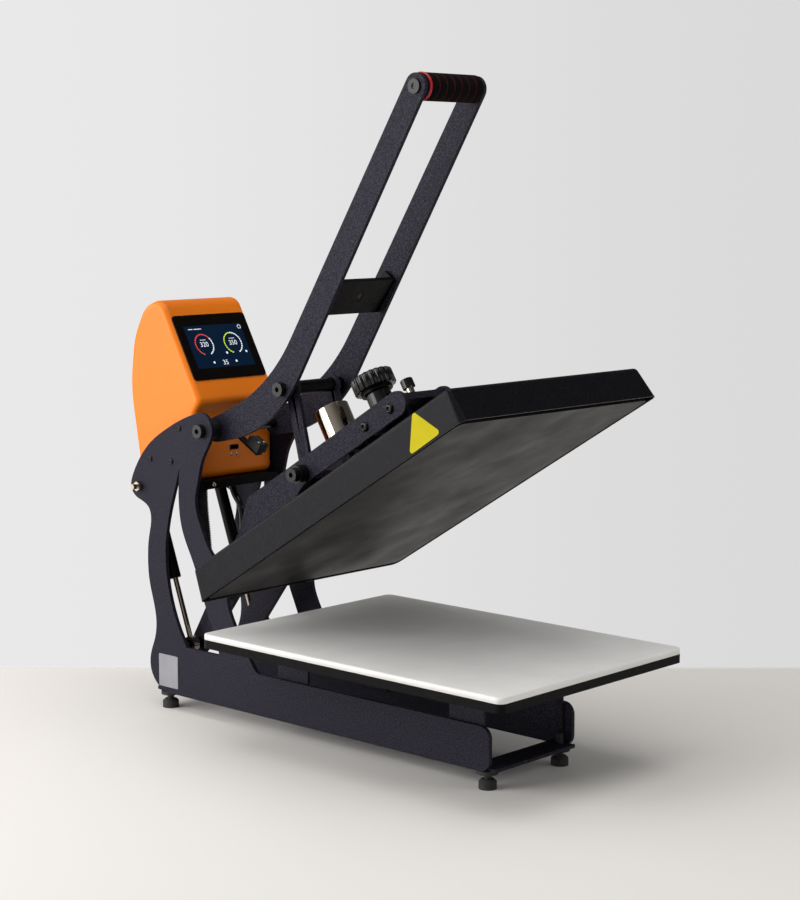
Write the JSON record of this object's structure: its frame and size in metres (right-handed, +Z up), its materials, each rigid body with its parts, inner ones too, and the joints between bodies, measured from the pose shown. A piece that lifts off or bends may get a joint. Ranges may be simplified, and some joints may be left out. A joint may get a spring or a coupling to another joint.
{
  "type": "flat heat press",
  "caption": "Clamshell heat press standing open: flat upper platen on a levered hinge, long handle, gas springs, orange control box, padded lower platen.",
  "frame": {"origin": "on the floor under the middle of the overall box", "axes": "+X across to the right side, +Y to the rear where the control box stands, +Z up"},
  "size_m": [0.4, 0.8193, 0.9205],
  "materials": {
    "frame_paint": "textured satin",
    "cover_paint": "textured satin",
    "steel": "satin",
    "dark_steel": "satin",
    "chrome": "polished",
    "aluminium": "satin",
    "orange_plastic": "gloss",
    "black_plastic": "matte",
    "grey_plastic": "matte",
    "rubber": "matte",
    "foam": "matte",
    "red_plastic": "satin",
    "silicone": "matte",
    "screen": "gloss",
    "board": "satin",
    "insulation": "matte",
    "conduit": "satin"
  },
  "bodies": {
    "frame": {"left_side_plate": "frame_paint", "right_side_plate": "frame_paint", "pivot_shafts": "dark_steel", "pivot_bushes": "black_plastic", "spring_upper_pins": "chrome", "silicone_pad": "silicone", "lower_platen": "aluminium", "platen_supports": "frame_paint", "foot_plates": "frame_paint", "box_front_shell": "orange_plastic", "box_rear_cover": "orange_plastic", "screen_bezel": "black_plastic", "touch_display": "screen", "control_board": "board", "service_port": "grey_plastic", "mains_inlet": "black_plastic", "power_switch_housing": "black_plastic", "box_tray": "frame_paint", "box_spacers": "frame_paint", "switch_bracket": "steel", "handle_switch": "black_plastic", "heater_conduit": "conduit", "sensor_lead": "conduit", "tray_glands": "black_plastic"},
    "upper_platen": {"left_lever": "frame_paint", "right_lever": "frame_paint", "lever_hinge_tube": "frame_paint", "lever_pins": "dark_steel", "top_cover": "cover_paint", "heat_plate": "aluminium", "heating_element": "steel", "insulation_blanket": "insulation", "lift_plate": "frame_paint", "platen_posts": "dark_steel", "lever_bridges": "frame_paint", "magnet_plate": "frame_paint", "release_magnet": "chrome", "knob_sleeve": "dark_steel", "stop_post": "chrome", "cover_glands": "black_plastic"},
    "knob": {"pressure_knob": "black_plastic", "pressure_spindle": "steel"},
    "handle": {"left_handle_arm": "frame_paint", "right_handle_arm": "frame_paint", "cross_tube": "frame_paint", "grip_tube": "steel", "foam_grip": "foam", "grip_rings": "red_plastic", "handle_bolts": "dark_steel", "keeper_crossbar": "frame_paint"},
    "link_pair": {"links": "frame_paint"},
    "left_cylinder": {"left_spring_cylinder": "dark_steel"},
    "left_rod": {"left_spring_rod": "chrome"},
    "right_cylinder": {"right_spring_cylinder": "dark_steel"},
    "right_rod": {"right_spring_rod": "chrome"},
    "rocker": {"power_rocker": "red_plastic"},
    "foot_front_left": {"front_left_foot": "rubber"},
    "foot_front_right": {"front_right_foot": "rubber"},
    "foot_rear_left": {"rear_left_foot": "rubber"},
    "foot_rear_right": {"rear_right_foot": "rubber"}
  },
  "joints": [
    {"name": "platen_hinge", "type": "hinge", "parent": "frame", "child": "upper_platen", "pos_m": [0, 0.212, 0.212], "axis": [1, 0, 0], "range_deg": [0, 31.19], "stiffness_Nm_per_rad": 50, "springref_deg": -114.59, "deforming": ["heater_conduit", "sensor_lead"]},
    {"name": "handle_pivot", "type": "hinge", "parent": "frame", "child": "handle", "pos_m": [0, 0.239, 0.424], "axis": [1, 0, 0], "range_deg": [0, 54.31]},
    {"name": "link_pivot", "type": "hinge", "parent": "handle", "child": "link_pair", "pos_m": [0, 0.101, 0.492], "axis": [1, 0, 0], "range_deg": [-92.56, 0]},
    {"name": "knob_turn", "type": "hinge", "parent": "upper_platen", "child": "knob", "pos_m": [0, -0.02388, 0.49559], "axis": [0, 0.5179, 0.8555], "continuous": true},
    {"name": "power_rocker", "type": "hinge", "parent": "frame", "child": "rocker", "pos_m": [0.034, 0.39432, 0.37754], "axis": [1, 0, 0], "range_deg": [0, 16]},
    {"name": "left_spring_mount", "type": "hinge", "parent": "frame", "child": "left_cylinder", "pos_m": [-0.066, 0.377, 0.331], "axis": [1, 0, 0], "range_deg": [0, 7.65]},
    {"name": "left_spring_stroke", "type": "slide", "parent": "left_cylinder", "child": "left_rod", "axis": [0, 0.349, 0.9371], "range_m": [0, 0.06826]},
    {"name": "right_spring_mount", "type": "hinge", "parent": "frame", "child": "right_cylinder", "pos_m": [0.066, 0.377, 0.331], "axis": [1, 0, 0], "range_deg": [0, 7.65]},
    {"name": "right_spring_stroke", "type": "slide", "parent": "right_cylinder", "child": "right_rod", "axis": [0, 0.349, 0.9371], "range_m": [0, 0.06826]},
    {"name": "front_left_foot_turn", "type": "hinge", "parent": "frame", "child": "foot_front_left", "pos_m": [-0.075, -0.292, 0], "axis": [0, 0, 1], "continuous": true},
    {"name": "front_right_foot_turn", "type": "hinge", "parent": "frame", "child": "foot_front_right", "pos_m": [0.075, -0.292, 0], "axis": [0, 0, 1], "continuous": true},
    {"name": "rear_left_foot_turn", "type": "hinge", "parent": "frame", "child": "foot_rear_left", "pos_m": [-0.075, 0.33, 0], "axis": [0, 0, 1], "continuous": true},
    {"name": "rear_right_foot_turn", "type": "hinge", "parent": "frame", "child": "foot_rear_right", "pos_m": [0.075, 0.33, 0], "axis": [0, 0, 1], "continuous": true}
  ],
  "couplings": [
    {"joint": "handle_pivot", "follows": "platen_hinge", "ratio": 1.7409},
    {"joint": "link_pivot", "follows": "platen_hinge", "ratio": -2.9673},
    {"joint": "left_spring_mount", "follows": "platen_hinge", "ratio": 0.24495},
    {"joint": "left_spring_stroke", "follows": "platen_hinge", "m_per_rad": 0.12521},
    {"joint": "right_spring_mount", "follows": "platen_hinge", "ratio": 0.24495},
    {"joint": "right_spring_stroke", "follows": "platen_hinge", "m_per_rad": 0.12521}
  ]
}
